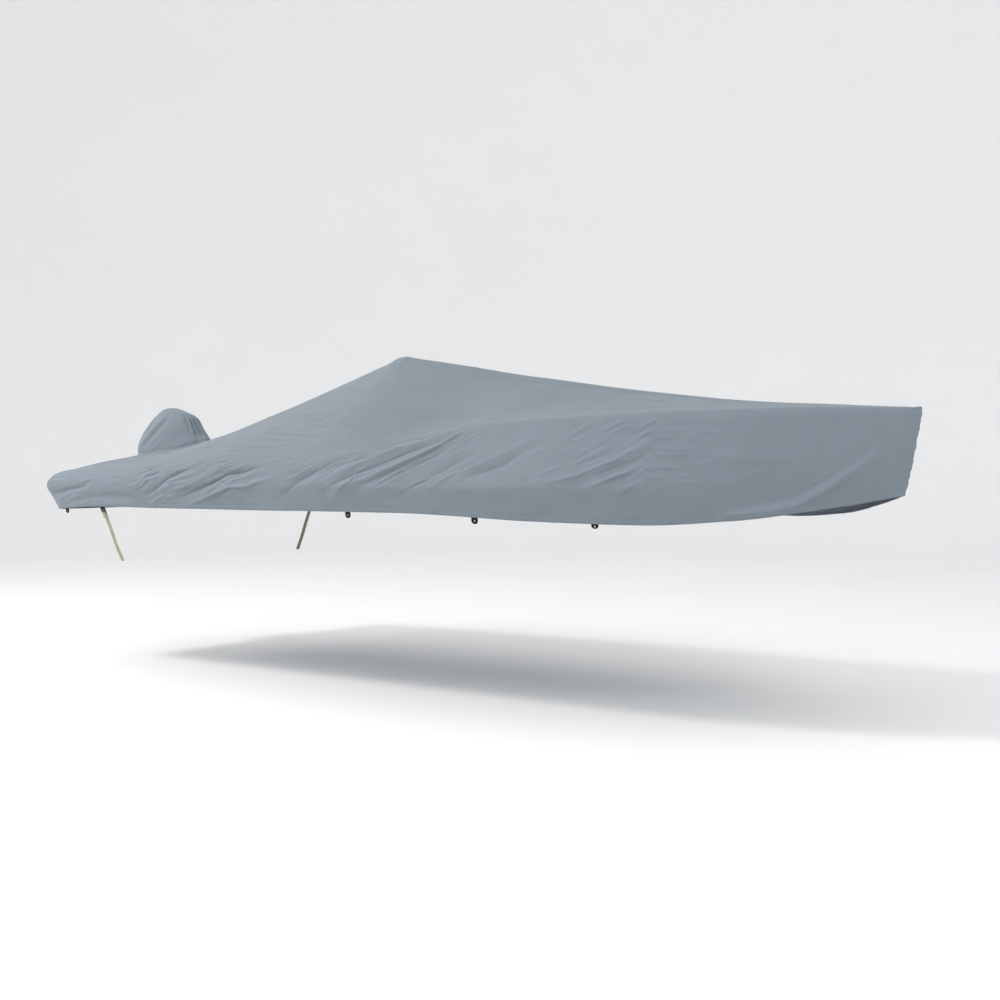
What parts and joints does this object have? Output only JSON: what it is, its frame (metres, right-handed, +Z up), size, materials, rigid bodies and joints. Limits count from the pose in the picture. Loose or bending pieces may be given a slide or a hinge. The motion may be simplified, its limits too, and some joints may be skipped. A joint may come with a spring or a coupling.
{
  "type": "boat cover",
  "caption": "Fitted fabric cover for an open boat: a low peaked tent with a hood over the outboard motor, puckered cross seams, black eyelet tabs under the hem and buckled tie-down straps.",
  "frame": {"origin": "underside of the cloth at the peak, where the boat's support pole holds the cover up", "axes": "+X toward the bow along the cover's length, +Y toward port, +Z up out of the peak"},
  "size_m": [6.6855, 2.4054, 1.5167],
  "materials": {
    "cover_cloth": "matt coated polyester cloth, cool grey",
    "black_webbing": "black woven webbing",
    "strap_webbing": "khaki woven webbing",
    "buckle_plastic": "black moulded plastic"
  },
  "bodies": {
    "root": {"stern_panel": "cover_cloth", "quarter_panel": "cover_cloth", "cockpit_panel": "cover_cloth", "peak_panel": "cover_cloth", "foredeck_panel": "cover_cloth", "bow_panel_starboard": "cover_cloth", "bow_panel_port": "cover_cloth", "motor_hood": "cover_cloth", "tie_tab_corner_starboard": "black_webbing", "tie_tab_mid_starboard": "black_webbing", "tie_tab_fore_starboard": "black_webbing", "tie_tab_bow_starboard": "black_webbing", "tie_tab_corner_port": "black_webbing", "tie_tab_mid_port": "black_webbing", "tie_tab_fore_port": "black_webbing", "tie_tab_bow_port": "black_webbing", "strap_tab_starboard": "black_webbing", "strap_tab_port": "black_webbing", "strap_webbing_starboard": "strap_webbing", "strap_webbing_port": "strap_webbing", "strap_buckle_starboard": "buckle_plastic", "strap_buckle_port": "buckle_plastic"}
  },
  "joints": []
}
